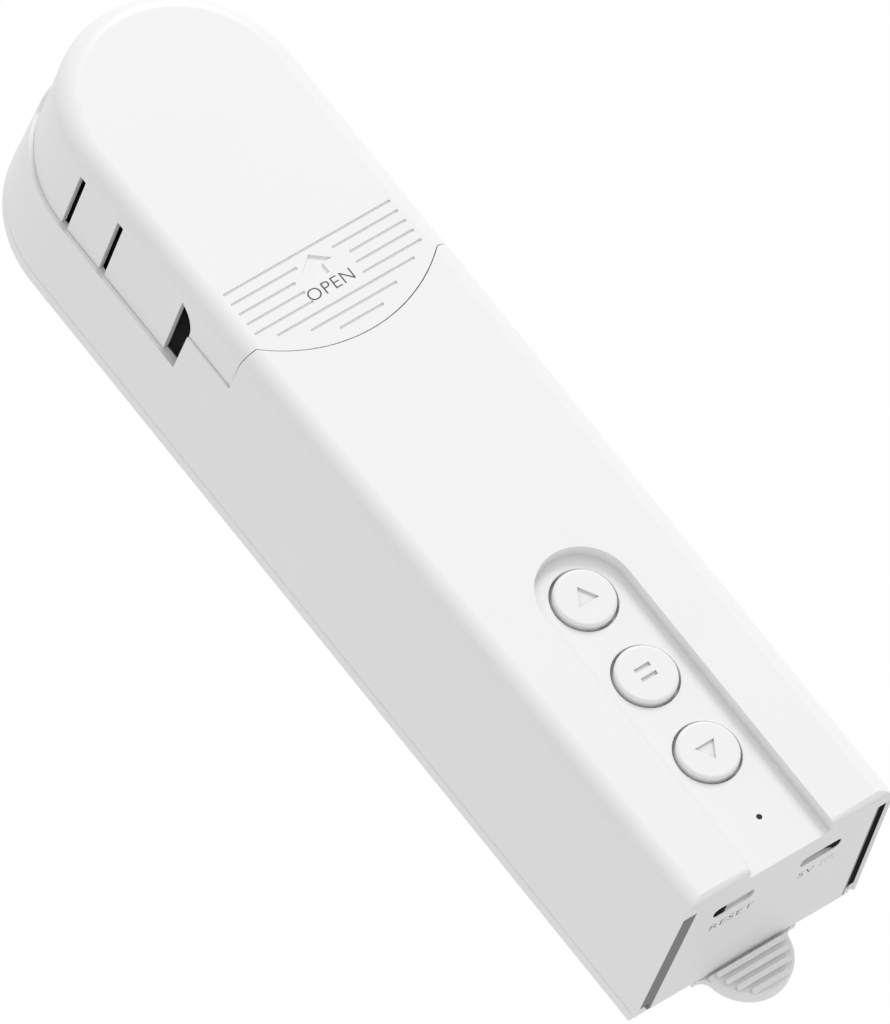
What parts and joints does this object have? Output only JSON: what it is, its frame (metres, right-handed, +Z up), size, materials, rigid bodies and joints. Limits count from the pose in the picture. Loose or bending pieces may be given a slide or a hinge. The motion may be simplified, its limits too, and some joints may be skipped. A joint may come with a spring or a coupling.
{
  "type": "curtain motor",
  "caption": "Rechargeable roller blind motor with a round end, lift-off chain cover, command buttons, geared sprocket drive and a wall bracket that it hangs on.",
  "frame": {"origin": "on the wall plane, at the back of the bracket, midway between its two screw holes", "axes": "+Y out of the wall bracket's back towards the wall, +Z up to the round end, +X to the right seen from the front"},
  "size_m": [0.044, 0.0351, 0.1828],
  "materials": {
    "shell_plastic": "white moulded plastic, satin",
    "button_plastic": "white moulded plastic, satin",
    "chassis_plastic": "grey moulded plastic",
    "black_plastic": "black moulded plastic",
    "gear_plastic": "natural acetal, smooth",
    "pinion_brass": "turned brass",
    "steel": "plated steel",
    "contact_chrome": "bright nickel plate",
    "cell_wrap": "blue shrink wrap over the cell",
    "board": "green solder mask on glass laminate",
    "led": "clear resin over a white body",
    "light_pipe": "clear acrylic"
  },
  "bodies": {
    "bracket": {"wall_bracket": "shell_plastic"},
    "latch": {"release_latch": "shell_plastic"},
    "housing": {"front_shell": "shell_plastic", "rear_tray": "shell_plastic", "case_screws": "steel", "gear_case": "black_plastic", "chassis": "chassis_plastic", "battery_cell": "cell_wrap", "battery_contacts": "contact_chrome", "control_board": "board", "board_screws": "steel", "tact_switches": "black_plastic", "usb_socket": "contact_chrome", "radio_module": "contact_chrome", "status_led": "led", "light_pipe": "light_pipe", "reset_switch": "black_plastic", "motor_can": "steel", "motor_end_cap": "black_plastic", "gearbox_housing": "steel", "gearbox_faceplate": "steel", "gearbox_screws": "steel", "rear_bearing": "steel", "front_bush": "pinion_brass"},
    "cover": {"front_cover": "shell_plastic"},
    "sprocket": {"chain_sprocket": "gear_plastic", "bevel_gear": "gear_plastic", "sprocket_axle": "steel", "sprocket_screw": "steel"},
    "drive": {"output_shaft": "steel", "bevel_pinion": "pinion_brass"},
    "up_button": {"button_up": "button_plastic", "switch_plunger_up": "black_plastic"},
    "pause_button": {"button_pause": "button_plastic", "switch_plunger_pause": "black_plastic"},
    "down_button": {"button_down": "button_plastic", "switch_plunger_down": "black_plastic"},
    "reset": {"reset_button": "button_plastic"}
  },
  "joints": [
    {"name": "latch_hinge", "type": "hinge", "parent": "bracket", "child": "latch", "pos_m": [0, -0.0012, -0.054], "axis": [1, 0, 0], "range_deg": [0, 1.1], "stiffness_Nm_per_rad": 0.4},
    {"name": "housing_slide", "type": "slide", "parent": "bracket", "child": "housing", "axis": [0, 0, 1], "range_m": [0, 0.0065]},
    {"name": "cover_slide", "type": "slide", "parent": "housing", "child": "cover", "axis": [0, 0, 1], "range_m": [0, 0.012]},
    {"name": "sprocket_spin", "type": "hinge", "parent": "housing", "child": "sprocket", "pos_m": [0, -0.0154, 0.068], "axis": [0, 1, 0], "continuous": true},
    {"name": "drive_shaft", "type": "hinge", "parent": "housing", "child": "drive", "pos_m": [0, -0.0154, 0.055], "axis": [0, 0, 1], "continuous": true},
    {"name": "up_press", "type": "slide", "parent": "housing", "child": "up_button", "axis": [0, 1, 0], "range_m": [0, 0.0006], "stiffness_N_per_m": 900},
    {"name": "pause_press", "type": "slide", "parent": "housing", "child": "pause_button", "axis": [0, 1, 0], "range_m": [0, 0.0006], "stiffness_N_per_m": 900},
    {"name": "down_press", "type": "slide", "parent": "housing", "child": "down_button", "axis": [0, 1, 0], "range_m": [0, 0.0006], "stiffness_N_per_m": 900},
    {"name": "reset_press", "type": "slide", "parent": "housing", "child": "reset", "axis": [0, 0, 1], "range_m": [0, 0.0005], "stiffness_N_per_m": 900}
  ],
  "couplings": [
    {"joint": "drive_shaft", "follows": "sprocket_spin", "ratio": 1.6667}
  ]
}
